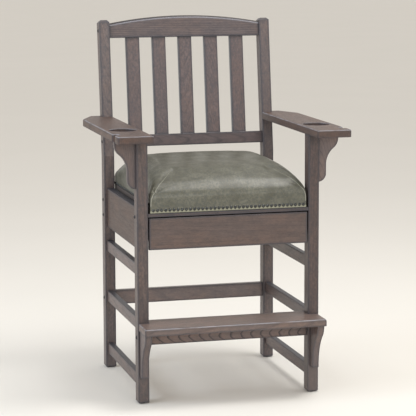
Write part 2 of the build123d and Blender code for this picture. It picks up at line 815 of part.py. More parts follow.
def add_arms_and_footrest():
    """The arms with their corbels, and the footrest with its brackets."""
    add_pair("armrest", armrest())
    add_pair("arm_corbel", arm_corbel())
    parts["footrest_board"] = footrest_board()
    add_pair("footrest_bracket", footrest_bracket())


def add_seat():
    """The cleats, board, cushion and nail heads."""
    add_pair("seat_cleat", seat_cleat())
    parts["seat_board"] = seat_board()
    parts["seat_cushion"] = seat_cushion()
    parts["nailhead_trim"] = nailhead_trim()
    head_z = seat_level - cleat_height
    screws = [screw_cutter(x, y, head_z, seat_screw_length, 0) for x, y in seat_screw_places()]
    parts["seat_board_screws"] = both_sides(screws)


def add_fasteners():
    """Bolts, barrel nuts and floor glides."""
    places = front_bolts + rear_bolts
    parts["frame_bolts"] = both_sides([bolt(place) for place in places])
    nuts = [barrel_nut(place, place is seat_rail_bolt) for place in places]
    parts["barrel_nuts"] = both_sides(nuts)
    x = half_width - post_width / 2
    glides = [rod_z(glide_radius, -x, y + post_middle, 0, glide_height) for y in (front_y, rear_y)]
    parts["floor_glides"] = both_sides(glides)


add_frame()
add_arms_and_footrest()
add_seat()
add_drawer()
add_slides()
add_fasteners()

os.makedirs("parts", exist_ok=True)
for node, shape in parts.items():
    solids = Compound(children=shape) if isinstance(shape, list) else shape
    export_step(solids, "parts/" + node + ".step")
print(len(parts), "nodes written")
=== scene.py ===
# %% [markdown]
# # A tall spectator armchair
# A spectator chair stands beside a games table. Its seat is as high as a bar stool's, so it needs a
# footrest, and its arms carry a cup and hold a cue. The frame is stained hardwood, the seat is leather over
# foam, and the deep panel under the seat is a drawer.
# The solids of the wooden pieces come from a measured model, so this lesson is about what they lack: grain
# and stain, a leather seat with real softness, metal, light, and the camera. First the model is loaded.

# %% Load the measured model
import bpy
import bmesh
import math
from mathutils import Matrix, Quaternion, Vector
from mathutils.bvhtree import BVHTree


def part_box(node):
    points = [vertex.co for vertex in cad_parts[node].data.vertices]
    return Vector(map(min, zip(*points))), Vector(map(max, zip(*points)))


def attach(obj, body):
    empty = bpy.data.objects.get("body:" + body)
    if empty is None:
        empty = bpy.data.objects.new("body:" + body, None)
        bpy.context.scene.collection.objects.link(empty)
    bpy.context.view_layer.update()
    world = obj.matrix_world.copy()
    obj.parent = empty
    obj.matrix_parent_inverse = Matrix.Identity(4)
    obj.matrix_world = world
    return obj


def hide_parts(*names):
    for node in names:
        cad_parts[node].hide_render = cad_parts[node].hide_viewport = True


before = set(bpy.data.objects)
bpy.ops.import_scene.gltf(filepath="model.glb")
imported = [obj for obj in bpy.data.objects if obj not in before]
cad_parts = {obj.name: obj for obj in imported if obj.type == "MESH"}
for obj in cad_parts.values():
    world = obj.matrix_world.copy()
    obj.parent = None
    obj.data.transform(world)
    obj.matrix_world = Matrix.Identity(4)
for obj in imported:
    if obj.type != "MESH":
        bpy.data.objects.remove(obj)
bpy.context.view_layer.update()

# %% [markdown]
# ## The camera
# The photograph was taken a little to the chair's left, from about eye height, with a long lens from about
# six metres. A long lens keeps the posts nearly parallel. The small shift stands in for the upright lines
# that were straightened in the photograph.

# %% Place the camera
camera_place = Vector((-1.5644, -5.9267, 1.5355))
camera_turn = math.radians(-15.039)
camera_drop = math.radians(8.045)
camera_roll = math.radians(-0.155)
looking_back = Vector((math.sin(camera_turn) * math.cos(camera_drop),
                       -math.cos(camera_turn) * math.cos(camera_drop), math.sin(camera_drop)))
lens = bpy.data.cameras.new("studio_camera")
lens.sensor_width = 36.0
lens.lens = 157.5
lens.shift_x = -0.0202
lens.shift_y = -0.05
camera = bpy.data.objects.new("studio_camera", lens)
bpy.context.scene.collection.objects.link(camera)
camera.location = camera_place
camera.rotation_mode = "QUATERNION"
camera.rotation_quaternion = (-looking_back).to_track_quat("-Z", "Y") @ Quaternion((0, 0, 1), camera_roll)
bpy.context.scene.camera = camera
bpy.context.scene.view_settings.view_transform = "Standard"
print("camera", round((camera_place - Vector((0, 0, 0.6))).length, 2), "m from the chair's middle")

# %% [markdown]
# ## A short way to wire shader nodes
# Every finish below is a small network of nodes. Wiring them by hand takes three lines for each node, so
# one class keeps it to one line: each method adds a node, fills its sockets with numbers or with other
# nodes' outputs, and hands back the output.

# %% A bench for wiring nodes
class Bench:
    """Adds nodes to one tree and returns their outputs."""

    def __init__(self, tree):
        self.tree = tree

    def put(self, kind, sockets, output=0, **settings):
        """Any shader node, with its sockets filled by name or number."""
        made = self.tree.nodes.new("ShaderNode" + kind)
        for name, value in settings.items():
            setattr(made, name, value)
        for name, value in sockets.items():
            self.fill(made.inputs[name], value)
        return made.outputs[output]

    def fill(self, socket, value):
        """Links a node's output to a socket, or sets the socket to a number or colour."""
        if isinstance(value, bpy.types.NodeSocket):
            self.tree.links.new(value, socket)
        else:
            socket.default_value = value

    def sum(self, operation, a, b=0.0, c=0.0):
        """One step of arithmetic."""
        return self.put("Math", {0: a, 1: b, 2: c}, operation=operation)

    def place(self):
        """The place on the chair, in metres."""
        return self.put("TexCoord", {}, output=3)

    def split(self, vector):
        """The three parts of a place or direction."""
        made = self.tree.nodes.new("ShaderNodeSeparateXYZ")
        self.fill(made.inputs[0], vector)
        return made.outputs

    def stretch(self, place, by):
        """A place with each of its axes multiplied, so that a texture on it is finer along that axis."""
        return self.put("VectorMath", {0: place, 1: by}, operation="MULTIPLY")

    def cloud(self, place, scale, detail=2.0, roughness=0.5, twist=0.0):
        """Soft noise around one half."""
        return self.put("TexNoise", {"Vector": place, "Scale": scale, "Detail": detail,
                                     "Roughness": roughness, "Distortion": twist})

    def between(self, value, low, high, to_low=0.0, to_high=1.0):
        """A smooth step as the value goes from low to high."""
        return self.put("MapRange", {"Value": value, "From Min": low, "From Max": high, "To Min": to_low,
                                     "To Max": to_high}, interpolation_type="SMOOTHSTEP")

    def blend(self, amount, first, second, how="MIX"):
        """Two colours mixed by an amount."""
        made = self.tree.nodes.new("ShaderNodeMix")
        made.data_type = "RGBA"
        made.blend_type = how
        self.fill(made.inputs[0], amount)
        self.fill(made.inputs[6], first)
        self.fill(made.inputs[7], second)
        return made.outputs[2]


def new_finish(name):
    """A material with an empty tree, its bench, and its surface shader."""
    finish = bpy.data.materials.new(name)
    finish.use_nodes = True
    tree = finish.node_tree
    tree.nodes.clear()
    shader = tree.nodes.new("ShaderNodeBsdfPrincipled")
    output = tree.nodes.new("ShaderNodeOutputMaterial")
    tree.links.new(shader.outputs[0], output.inputs[0])
    return finish, Bench(tree), shader


print("the bench's tools:", ", ".join(name for name in vars(Bench) if not name.startswith("_")))

# %% [markdown]
# ## Stained wood
# A board is cut from a log, so its figure is a slice through growth rings. Where the saw ran nearly level
# with the rings, they show as long arches and arrowheads. Where it crossed them, they show as straight
# lines. A picture laid on the board can't do that, but a texture that fills space can: it works out how far
# each point is from the log's heart, and draws a ring at every few millimetres.
# No tree grows perfectly round, so a slow and a quick wave bend the rings. Each ring darkens softly towards
# the end of a summer, and stops sharply where the next spring begins.

# %% Rings around the log's heart
slow_wave_reach = 0.018  # metres
quick_wave_share = 0.50  # of the gap between two rings


def ring_lines(bench, place, given):
    """1 on the dark line of each growth ring and 0 between the lines."""
    slow = bench.cloud(bench.stretch(place, (1.3, 8.0, 8.0)), 1.0, 2.0)
    quick = bench.cloud(bench.stretch(place, (12.0, 60.0, 60.0)), 1.0, 3.0)
    along, deep, across = bench.split(place)
    squares = bench.sum("ADD", bench.sum("MULTIPLY", deep, deep), bench.sum("MULTIPLY", across, across))
    bent = bench.sum("MULTIPLY_ADD", along, given["Taper"], bench.sum("SQRT", squares))
    bent = bench.sum("ADD", bent, bench.sum("MULTIPLY", slow, slow_wave_reach))
    quick_reach = bench.sum("MULTIPLY", given["Ring Gap"], quick_wave_share)
    bent = bench.sum("ADD", bent, bench.sum("MULTIPLY", quick, quick_reach))
    ring = bench.sum("FRACT", bench.sum("DIVIDE", bent, given["Ring Gap"]))
    before_spring = bench.sum("SUBTRACT", 1.0, ring)
    darkening = bench.sum("SUBTRACT", 1.0, bench.sum("DIVIDE", before_spring, given["Ring Width"]))
    return bench.sum("MULTIPLY", bench.between(darkening, 0.0, 0.8), bench.between(before_spring, 0.0, 0.05))


print("slow wave:", slow_wave_reach, "m; quick wave:", quick_wave_share, "of a ring's gap")

# %% [markdown]
# The dark stain gathers in the open pores and ring lines, and is rubbed thin between them. So the ground
# changes slowly from warm to cool, mottling, streaks and fibres darken it, and fine specks, ring lines and
# pores lie on top. All boards share this one group of nodes, so that they match. Each board gives it another
# place in the log.

# %% The figure of the wood, shared by all boards
warm_ground, cool_ground = (0.174, 0.118, 0.097, 1), (0.146, 0.110, 0.100, 1)
mottle_tone, streak_tone = (0.092, 0.075, 0.073, 1), (0.088, 0.067, 0.061, 1)
fibre_tone = (0.068, 0.053, 0.050, 1)
dark_speck, pale_speck = (0.066, 0.066, 0.073, 1), (0.220, 0.160, 0.136, 1)
ring_tone, pore_tone = (0.042, 0.035, 0.038, 1), (0.036, 0.030, 0.033, 1)


def ground_colour(bench, place, fibres, speckle_amount):
    """The stain between the rings and pores."""
    streaks = bench.cloud(bench.stretch(place, (3.0, 85.0, 85.0)), 1.0, 3.0, 0.6)
    tone = bench.cloud(bench.stretch(place, (5.0, 16.0, 16.0)), 1.0, 3.0, 0.55)
    mottle = bench.cloud(bench.stretch(place, (26.0, 55.0, 55.0)), 1.0, 4.0, 0.65)
    specks = bench.cloud(bench.stretch(place, (95.0, 170.0, 170.0)), 1.0, 3.0, 0.60)
    colour = bench.blend(bench.between(tone, 0.36, 0.64), warm_ground, cool_ground)
    colour = bench.blend(bench.between(mottle, 0.38, 0.66, 0.0, 0.52), colour, mottle_tone)
    colour = bench.blend(bench.between(streaks, 0.35, 0.68, 0.0, 0.25), colour, streak_tone)
    colour = bench.blend(bench.between(fibres, 0.3, 0.7, 0.0, 0.30), colour, fibre_tone)
    dark = bench.sum("MULTIPLY", bench.between(specks, 0.49, 0.66), speckle_amount)
    pale = bench.sum("MULTIPLY", bench.between(specks, 0.49, 0.34), speckle_amount)
    colour = bench.blend(dark, colour, dark_speck)
    return bench.blend(bench.sum("MULTIPLY", pale, 0.78), colour, pale_speck)


def wood_figure():
    """A node group: a place in the log in metres gives the stain's colour, roughness and height."""
    group = bpy.data.node_groups.new("stained_wood_figure", "ShaderNodeTree")
    group.interface.new_socket("Place", in_out="INPUT", socket_type="NodeSocketVector")
    for name in ("Taper", "Ring Gap", "Ring Width", "Ring Depth", "Speckle"):
        group.interface.new_socket(name, in_out="INPUT", socket_type="NodeSocketFloat")
    for name, kind in (("Color", "Color"), ("Roughness", "Float"), ("Height", "Float")):
        group.interface.new_socket(name, in_out="OUTPUT", socket_type="NodeSocket" + kind)
    bench = Bench(group)
    given = group.nodes.new("NodeGroupInput").outputs
    place = given["Place"]
    rings = ring_lines(bench, place, given)
    fibres = bench.cloud(bench.stretch(place, (16.0, 620.0, 620.0)), 1.0, 3.0, 0.6)
    pore_field = bench.cloud(bench.stretch(place, (70.0, 1500.0, 1500.0)), 1.0, 1.0)
    pores = bench.between(bench.sum("ADD", pore_field, bench.sum("MULTIPLY", rings, 0.05)), 0.60, 0.68)

    ground = ground_colour(bench, place, fibres, given["Speckle"])
    lined = bench.blend(bench.sum("MULTIPLY", rings, given["Ring Depth"]), ground, ring_tone)
    stained = bench.blend(bench.sum("MULTIPLY", pores, 0.40), lined, pore_tone)
    rough = bench.sum("ADD", bench.between(fibres, 0.2, 0.8, 0.40, 0.52), bench.sum("MULTIPLY", pores, 0.14))
    height = bench.sum("SUBTRACT", bench.sum("MULTIPLY", fibres, 0.35), bench.sum("MULTIPLY", pores, 0.8))
    height = bench.sum("SUBTRACT", height, bench.sum("MULTIPLY", rings, 0.35))
    result = group.nodes.new("NodeGroupOutput")
    for name, value in (("Color", stained), ("Roughness", rough), ("Height", height)):
        group.links.new(value, result.inputs[name])
    return group


figure = wood_figure()
print("wood figure:", len(figure.nodes), "nodes")

# %% [markdown]
# ## Boards
# Each piece is its own board. The table tints some of them: a number under 1 takes that colour down, and one
# over 1 brings it up. A few tints stand for boards from different trees that take the same stain differently.
# The strong ones, such as the rear stretcher's, the footrest's, the left apron's and the front right post's,
# are painted light and painted shade, which even out how the lamps light each piece.
# Blender's object coordinates are in metres, and the log's heart is a point near the board. Taking one from
# the other, and putting the axis that the grain runs along first, gives the place in the log. A board is
# never sawn quite along its log, so the place drifts a little on the way.

# %% Tints with painted light, and a board's place in its log
plain_tint = (1.0, 1.02, 1.08)
# The strong tints are painted light and painted shade: they brighten pieces that sit in shade and darken
# pieces that the lamps light too much.
board_tints_and_painted_light = {
    "back_slat": (0.90, 0.90, 0.99), "crest_rail": (0.95, 1.04, 1.16), "lower_back_rail": (0.80, 0.79, 0.88),
    "rear_post": (0.92, 0.97, 1.05), "rear_stretcher": (1.50, 1.62, 1.72), "armrest": (0.81, 0.74, 0.70),
    "footrest_board": (1.24, 1.22, 1.20), "footrest_rail": (1.38, 1.34, 1.34),
    "front_post_right": (0.66, 0.63, 0.66), "front_post_left": (0.77, 0.77, 0.80),
    "side_apron_left": (0.68, 0.63, 0.61), "drawer_front": (0.86, 0.815, 0.80),
    "front_seat_rail": (0.72, 0.70, 0.72), "arm_corbel_right": (1.30, 1.32, 1.38),
    "footrest_bracket_right": (1.10, 1.10, 1.15)}
saw_drift = 0.012  # metres for each metre of board


def tint_and_light_of(name):
    """The tint, with its painted light and shade, of the row that the piece's name starts with."""
    return next((board_tints_and_painted_light[start] for start in board_tints_and_painted_light if name.startswith(start)), plain_tint)


def place_in_log(bench, place, grain, heart):
    """A place in the log, with the grain along its first axis."""
    axes = bench.split(bench.put("VectorMath", {0: place, 1: heart}, operation="SUBTRACT"))
    order = {"x": (0, 1, 2), "y": (1, 0, 2), "z": (2, 1, 0)}[grain]
    along, into_face, over_face = (axes[i] for i in order)
    drifted = bench.sum("MULTIPLY_ADD", along, saw_drift, over_face)
    return bench.put("CombineXYZ", {0: along, 1: into_face, 2: drifted})


print("kinds of board with their own tint:", len(board_tints_and_painted_light))


# %% [markdown]
# Edges make stained furniture look real. The Bevel node gives the direction that a surface would face if its
# edges were rounded, so an edge is where that direction leans away from the surface. Along most edges a dark
# line is drawn: stain, and painted shade. On the arms and the footrest the upward edges get a pale line
# instead, which stands for wear where hands and feet rub and for a painted highlight from above, and their
# downward edges get the dark line. The crest's top edge has a wider rounding and two painted lines of its
# own: painted shade on top, and a thin painted highlight below it in front.

# %% Lines along the edges
# The pale line is wear with a painted highlight, and the dark one is stain with painted shade.
pale_edge_wear_and_highlight, dark_edge_stain_and_shade = (0.33, 0.34, 0.38, 1), (0.042, 0.042, 0.052, 1)
crest_painted_highlight, crest_painted_shade = (0.36, 0.37, 0.42, 1), (0.040, 0.036, 0.038, 1)
edge_radius, crest_radius = 0.0034, 0.0085  # metres
edge_strength = 0.60


def leaning(bench, radius, true_normal):
    """The rounded direction, and how far it agrees with the surface's own: 1 on flat faces, less at edges."""
    rounded = bench.put("Bevel", {"Radius": radius}, samples=6)
    return rounded, bench.put("VectorMath", {0: rounded, 1: true_normal}, output=1, operation="DOT_PRODUCT")


def edge_line(bench, true_normal, curved):
    """1 along the middle of a rounded edge, and how far that edge looks up."""
    rounded, agreement = leaning(bench, edge_radius, true_normal)
    up = bench.between(bench.split(rounded)[2], 0.20, 0.42)
    if curved:
        return bench.between(agreement, 0.98, 0.82), up
    x, y, z = (bench.sum("ABSOLUTE", part) for part in bench.split(rounded))
    largest = bench.sum("MAXIMUM", bench.sum("MAXIMUM", x, y), z)
    return bench.between(largest, 0.95, 0.80), up


def crest_painted_lines(bench, colour):
    """Paints shade on the top of the crest's round top edge, and a thin highlight on its front below that."""
    up = bench.split(bench.put("Bevel", {"Radius": crest_radius}, samples=8))[2]
    # A painted highlight on the rounding's front, and painted shade on its top.
    line = bench.sum("MULTIPLY", bench.between(up, 0.16, 0.30), bench.between(up, 0.50, 0.40))
    colour = bench.blend(bench.sum("MULTIPLY", line, edge_strength), colour, crest_painted_highlight)
    return bench.blend(bench.between(up, 0.46, 0.60, 0.0, 0.80), colour, crest_painted_shade)


def edge_wear_and_painted_light(bench, name, place, colour, true_normal):
    """Draws a board's edge lines, with their painted highlight and shade, which are fainter in patches."""
    if name == "crest_rail":
        return crest_painted_lines(bench, colour)
    curved = name.startswith(("arm_corbel", "footrest_bracket"))
    edge, up = edge_line(bench, true_normal, curved)
    patchy = bench.cloud(bench.stretch(place, (28.0, 28.0, 28.0)), 1.0, 3.0)
    edge = bench.sum("MULTIPLY", edge, bench.between(patchy, 0.25, 0.55))
    handled = name.startswith(("armrest", "footrest_board"))
    # Edges that look up get the pale line of wear and painted highlight, and edges that look down get painted
    # shade.
    line_colour = bench.blend(up, dark_edge_stain_and_shade, pale_edge_wear_and_highlight) if handled else dark_edge_stain_and_shade
    return bench.blend(bench.sum("MULTIPLY", edge, edge_strength), colour, line_colour)


print("edge lines lie within", edge_radius, "m of an edge, and on the crest within", crest_radius, "m")

# %% [markdown]
# The narrow faces of the side rails are darker, with stain and painted shade, and the strip beside every edge
# is darkened the same way. The slats' narrow faces are a cool grey, a painted reflection of the light from
# the left. The feet of the posts and brackets are painted a little paler, for some wear and for light from
# the floor, and most of all the front right post's.

# %% Glaze one board, and paint its light and shade
slat_side_reflection, rail_side_stain_and_shade = (0.122, 0.134, 0.156, 1), (0.034, 0.038, 0.050, 1)
edge_stain_and_shade, pale_foot_wear_and_light = (0.042, 0.044, 0.056, 1), (0.205, 0.180, 0.176, 1)
edge_shade_reach = 0.0120  # metres
pale_foot_top, pale_foot_full = 0.40, 0.06  # metres over the floor


def glaze_and_paint_light(bench, name, place, colour, true_normal, narrow):
    """Tints a board, paints shade on the rails' narrow faces and on the strips beside its edges, a reflection
    on the slats' sides, and paler feet.
    """
    colour = bench.blend(1.0, colour, (*tint_and_light_of(name), 1), "MULTIPLY")
    # Narrow faces: a painted reflection of the left light on the slats, and stain with painted shade on the
    # side rails.
    if narrow:
        turned = bench.sum("ABSOLUTE", bench.split(true_normal)["xyz".index(narrow)])
        painted_side_tone = slat_side_reflection if name.startswith("back_slat") else rail_side_stain_and_shade
        colour = bench.blend(bench.between(turned, 0.80, 0.97, 0.0, 0.88), colour, painted_side_tone)
    # The strip beside each edge, and the inside of hollows, is darkened: stain with painted shade.
    _, agreement = leaning(bench, edge_shade_reach, true_normal)
    most_edge_shade = 0.45 if name.startswith("armrest") else 0.85
    shade_beside_edge = bench.sum("MULTIPLY", bench.between(agreement, 0.998, 0.95), most_edge_shade)
    colour = bench.blend(shade_beside_edge, colour, edge_stain_and_shade)
    # The feet are painted paler: a little wear, and painted light from the floor, strongest on the front
    # right post.
    if name.startswith(("front_post", "rear_post", "footrest_bracket")):
        most_pale_foot = 0.30 if name == "front_post_right" else 0.08
        scuffed = bench.between(bench.split(place)[2], pale_foot_top, pale_foot_full, 0.0, most_pale_foot)
        colour = bench.blend(scuffed, colour, pale_foot_wear_and_light)
    return colour


print("feet are scuffed up to", pale_foot_top, "m over the floor")

# %% [markdown]
# One board's finish puts these together. Last, the Ambient Occlusion node finds the corners where pieces meet
# and the hollows near them, and darkens them: dirt and stain that gather in joints, and painted shade.
# Lacquer over the stain gives a satin shine. It is worn thinner on the arms, and the crest and aprons have
# less of it.

# %% Finish one board
joint_reach = 0.012  # metres
joint_dirt_and_shade = (0.030, 0.030, 0.038, 1)


def stained_board(name, grain, heart, taper, ring_gap, ring_width, ring_depth, narrow):
    """The finish of one piece. Its grain runs along one axis, and heart is a point in the log's middle."""
    finish, bench, shader = new_finish("stained_" + name)
    place = bench.place()
    cut = bench.tree.nodes.new("ShaderNodeGroup")
    cut.node_tree = figure
    bench.fill(cut.inputs["Place"], place_in_log(bench, place, grain, heart))
    speckle = 0.50 if name.startswith(("back_slat", "front_post", "rear_post")) else 0.15
    for socket, value in (("Taper", taper), ("Ring Gap", ring_gap), ("Ring Width", ring_width),
                          ("Ring Depth", ring_depth), ("Speckle", speckle)):
        cut.inputs[socket].default_value = value

    true_normal = bench.put("NewGeometry", {}, output=1)
    colour = glaze_and_paint_light(bench, name, place, cut.outputs["Color"], true_normal, narrow)
    colour = edge_wear_and_painted_light(bench, name, place, colour, true_normal)
    # The Ambient Occlusion darkening is painted shade in corners and hollows, along with dirt in the joints.
    joint = bench.put("AmbientOcclusion", {"Distance": joint_reach}, output=1, samples=6)
    most_dirt_and_shade = 0.20 if name.startswith("armrest") else 0.75
    colour = bench.blend(bench.between(joint, 0.62, 0.25, 0.0, most_dirt_and_shade), colour, joint_dirt_and_shade)
    bench.fill(shader.inputs["Base Color"], colour)
    bench.fill(shader.inputs["Roughness"], cut.outputs["Roughness"])
    relief = bench.put("Bump", {"Height": cut.outputs["Height"], "Strength": 0.30, "Distance": 0.0005})
    bench.fill(shader.inputs["Normal"], relief)
    matter = name.startswith(("armrest", "crest_rail", "side_apron"))
    shader.inputs["Specular IOR Level"].default_value = 0.28 if matter else 0.42
    shader.inputs["Coat Weight"].default_value = 0.04 if matter else 0.12
    shader.inputs["Coat Roughness"].default_value = 0.28
    return finish


print("stain gathers within", joint_reach, "m of a joint")

# %% [markdown]
# Now each piece's cut. The grain follows a joiner's rule: it runs along the length of a post or rail, and up
# and down in a bracket, so that its neck doesn't snap. The taper says how steeply the board was cut through
# the rings. A steep cut gives the arrowheads on the rail under the footrest.

# %% How each piece was cut
def cut_of(name):
    """Grain axis, taper, ring gap in metres, line width and depth, and the narrow faces' axis."""
    if name.startswith("back_slat"):
        return "z", 0.015, 0.005, 0.40, 0.26, "x"
    if name.startswith(("front_post", "rear_post")):
        return "z", 0.020, 0.005, 0.40, 0.25, None
    if name.startswith(("arm_corbel", "footrest_bracket")):
        return "z", 0.12, 0.006, 0.30, 0.45, None
    if name == "footrest_rail":
        return "x", -0.205, 0.0070, 0.34, 1.0, None
    if name == "crest_rail":
        return "x", 0.0, 0.0055, 0.42, 0.60, None
    if name == "lower_back_rail":
        return "x", 0.06, 0.006, 0.30, 0.40, None
    if name == "rear_stretcher":
        return "x", 0.06, 0.006, 0.30, 0.16, None
    if name == "drawer_front":
        return "x", 0.012, 0.006, 0.40, 0.14, None
    if name.startswith("armrest"):
        return "y", 0.03, 0.006, 0.35, 0.30, None
    if "side" in name:
        return "y", 0.03, 0.006, 0.35, 0.30, "z"
    return "x", 0.04, 0.006, 0.35, 0.35, None


def heart_of(name, grain, middle, turn):
    """A point on the log's middle line. The turn gives each board its own place round the log."""
    if name == "footrest_rail":
        return middle + Vector((0, 0.025, -0.008))
    if name == "crest_rail":
        return middle + Vector((0, 0.030, -0.160))
    if grain == "x":
        return middle + Vector((0.3 * math.sin(turn), 0.045 + 0.012 * math.cos(turn), 0.012 * math.sin(turn)))
    if grain == "y":
        inward = -1 if middle.x > 0 else 1
        return middle + Vector((0.05 * inward, 0.3 * math.sin(turn), 0.014 * math.cos(turn)))
    return middle + Vector((math.cos(turn), math.sin(turn), 0)) * 0.055


print("footrest rail's cut:", cut_of("footrest_rail"))

# %% [markdown]
# Everything that isn't metal, leather, nylon, painted or the drawer's own pale wood is stained. From one
# board to the next, the place round the log turns by 2.4 radians, which is close to the golden angle. So no
# two boards get the same figure.

# %% Stain every wooden piece
golden_turn = 2.4
small_metal = ("frame_bolts", "barrel_nuts", "nailhead_trim", "seat_board_screws", "drawer_front_screws")
inner_drawer = ("drawer_side_left", "drawer_side_right", "drawer_back", "drawer_bottom", "drawer_inner_front")
other_finish = small_metal + inner_drawer + ("floor_glides", "seat_board", "seat_cushion")
stained_pieces = [name for name in sorted(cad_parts)
                  if name not in other_finish and not name.startswith("drawer_slide")]


def dress(name, finish):
    """Puts one finish on a piece of the measured model."""
    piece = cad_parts[name]
    if not piece.material_slots:
        piece.data.materials.append(finish)
    for slot in piece.material_slots:
        slot.material = finish


for number, name in enumerate(stained_pieces):
    low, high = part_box(name)
    middle = (Vector(low) + Vector(high)) / 2
    grain, *cut = cut_of(name)
    heart = heart_of(name, grain, middle, number * golden_turn)
    dress(name, stained_board(name, grain, heart, *cut))
print("stained boards:", len(stained_pieces))

# %% [markdown]
# ## The drawer's own wood, and the board under the seat
# A drawer's sides are usually a pale, plain wood under clear lacquer. The board that carries the seat is
# painted dark as painted shade: only its edge shows, and its colour stands for the shadow between the leather
# and the apron.

# %% Pale drawer wood, and the board's painted shade
pale_wood, dark_streak, fine_line = (0.56, 0.42, 0.27, 1), (0.42, 0.29, 0.17, 1), (0.26, 0.17, 0.10, 1)
board_shade_tone, board_shade_streak = (0.075, 0.064, 0.060, 1), (0.120, 0.100, 0.092, 1)


def pale_drawer_wood(name, grain):
    """Clear lacquered wood with straight, close grain."""
    finish, bench, shader = new_finish("drawer_wood_" + name)
    place = bench.place()
    long_way = {"x": (2.0, 40.0, 40.0), "y": (40.0, 2.0, 40.0)}[grain]
    streaks = bench.cloud(bench.stretch(place, long_way), 1.0, 4.0, 0.6)
    fine = bench.cloud(bench.stretch(place, tuple(v * 12 for v in long_way)), 1.0, 2.0)
    colour = bench.blend(bench.between(streaks, 0.3, 0.7), pale_wood, dark_streak)
    colour = bench.blend(bench.between(fine, 0.4, 0.75, 0.0, 0.25), colour, fine_line)
    bench.fill(shader.inputs["Base Color"], colour)
    bench.fill(shader.inputs["Roughness"], bench.between(fine, 0.2, 0.8, 0.42, 0.55))
    relief = bench.put("Bump", {"Height": fine, "Strength": 0.15, "Distance": 0.0004})
    bench.fill(shader.inputs["Normal"], relief)
    return finish


def board_painted_shade():
    """Thin dark paint that stands in for the shade under the leather, left a little uneven by a brush."""
    finish, bench, shader = new_finish("seat_board_painted_shade")
    brushed = bench.cloud(bench.stretch(bench.place(), (20.0, 20.0, 220.0)), 1.0, 3.0)
    bench.fill(shader.inputs["Base Color"], bench.blend(brushed, board_shade_tone, board_shade_streak))
    bench.fill(shader.inputs["Roughness"], bench.between(brushed, 0.2, 0.8, 0.55, 0.75))
    return finish


for name in inner_drawer:
    dress(name, pale_drawer_wood(name, "y" if "side" in name else "x"))
dress("seat_board", board_painted_shade())
print("drawer box and seat board finished")

# %% [markdown]
# ## Metal and glides
# The bolts are black oxide, which is steel that is turned black in a hot bath: it is dark, a little uneven
# and softly shiny. The nail heads are dark pewter, and a nail that has been hammered in has a slightly
# dimpled dome. The slides and hidden screws are zinc plated, with a faint crystal pattern.

# %% Black, pewter and zinc metals
def metal(name, dark, light, roughness, grain_scale, metallic=1.0, dimples=0.0):
    """A metal with a cloudy colour, a finely changing shine and, if asked, dimples."""
    finish, bench, shader = new_finish(name)
    place = bench.place()
    cloudy = bench.cloud(place, grain_scale, 3.0)
    fine = bench.cloud(place, grain_scale * 6, 2.0)
    bench.fill(shader.inputs["Base Color"], bench.blend(bench.between(cloudy, 0.35, 0.65), dark, light))
    rough = bench.between(fine, 0.25, 0.75, roughness - 0.07, roughness + 0.09)
    bench.fill(shader.inputs["Roughness"], rough)
    shader.inputs["Metallic"].default_value = metallic
    if dimples:
        relief = bench.put("Bump", {"Height": cloudy, "Strength": dimples, "Distance": 0.0006})
        bench.fill(shader.inputs["Normal"], relief)
    return finish


black_oxide = metal("black_oxide", (0.028, 0.028, 0.032, 1), (0.055, 0.053, 0.055, 1),
                    roughness=0.42, grain_scale=300.0, metallic=0.7)
pewter = metal("dark_pewter", (0.030, 0.032, 0.034, 1), (0.095, 0.100, 0.098, 1),
               roughness=0.24, grain_scale=420.0, metallic=0.85, dimples=0.5)
zinc = metal("zinc_plate", (0.42, 0.43, 0.45, 1), (0.60, 0.61, 0.63, 1), roughness=0.33, grain_scale=260.0)
dress("frame_bolts", black_oxide)
dress("nailhead_trim", pewter)
zinc_pieces = [name for name in sorted(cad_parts) if name.startswith("drawer_slide")]
zinc_pieces += ["barrel_nuts", "seat_board_screws", "drawer_front_screws"]
for name in zinc_pieces:
    dress(name, zinc)
print("zinc plated pieces:", len(zinc_pieces))

# %% [markdown]
# The glides under the legs are hard black nylon. Floors scuff it, so grey is mixed into its black in small
# patches, and its shine changes with them.

# %% Nylon glides
def nylon():
    """Hard black plastic, scuffed grey by floors."""
    finish, bench, shader = new_finish("black_nylon")
    scuffs = bench.cloud(bench.stretch(bench.place(), (180.0, 180.0, 60.0)), 1.0, 4.0)
    new, scuffed = (0.02, 0.02, 0.021, 1), (0.07, 0.068, 0.065, 1)
    bench.fill(shader.inputs["Base Color"], bench.blend(bench.between(scuffs, 0.4, 0.7), new, scuffed))
    bench.fill(shader.inputs["Roughness"], bench.between(scuffs, 0.3, 0.7, 0.45, 0.65))
    return finish


dress("floor_glides", nylon())
print("glides finished")

# %% [markdown]
# ## Leather
# This leather is dyed in two tones, wiped so that a pale olive shows through a darker grey-green, and it has
# a soft waxy shine. Close up it has a pebbled grain, with cells about a millimetre across, and faint creases.
# In front, the hide is folded under and nailed. The fold is drawn paler, and the nails hold it down, so its
# pale band reaches a little higher between each two of them. A cosine that follows the nails draws that.

# %% Colours of the leather
olive_ground = ((0.087, 0.0855, 0.0615, 1), (0.139, 0.137, 0.106, 1))
grey_fleck, wax_speck = (0.066, 0.071, 0.064, 1), (0.25, 0.25, 0.21, 1)
fold_tone, pleat_tone = (0.36, 0.36, 0.27, 1), (0.42, 0.42, 0.35, 1)
nail_step = 0.01373  # metres from nail to nail
fold_low, fold_high = 0.6308, 0.6328  # metres over the floor, where the pale fold ends at a nail
fold_rise = 0.0055  # metres, how much higher it reaches between two nails


def pale_fold(bench, place):
    """1 on the folded edge in front, which reaches higher between the nails."""
    across, _, height = bench.split(place)
    swing = bench.sum("COSINE", bench.sum("MULTIPLY", across, math.pi / nail_step))
    between_nails = bench.sum("POWER", bench.sum("ABSOLUTE", swing), 3.0)
    pulled_up = bench.sum("MULTIPLY", between_nails, fold_rise)
    return bench.between(bench.sum("SUBTRACT", height, pulled_up), fold_high, fold_low)


print("the fold ends", fold_high, "m over the floor at a nail, and", fold_rise, "m higher between two")
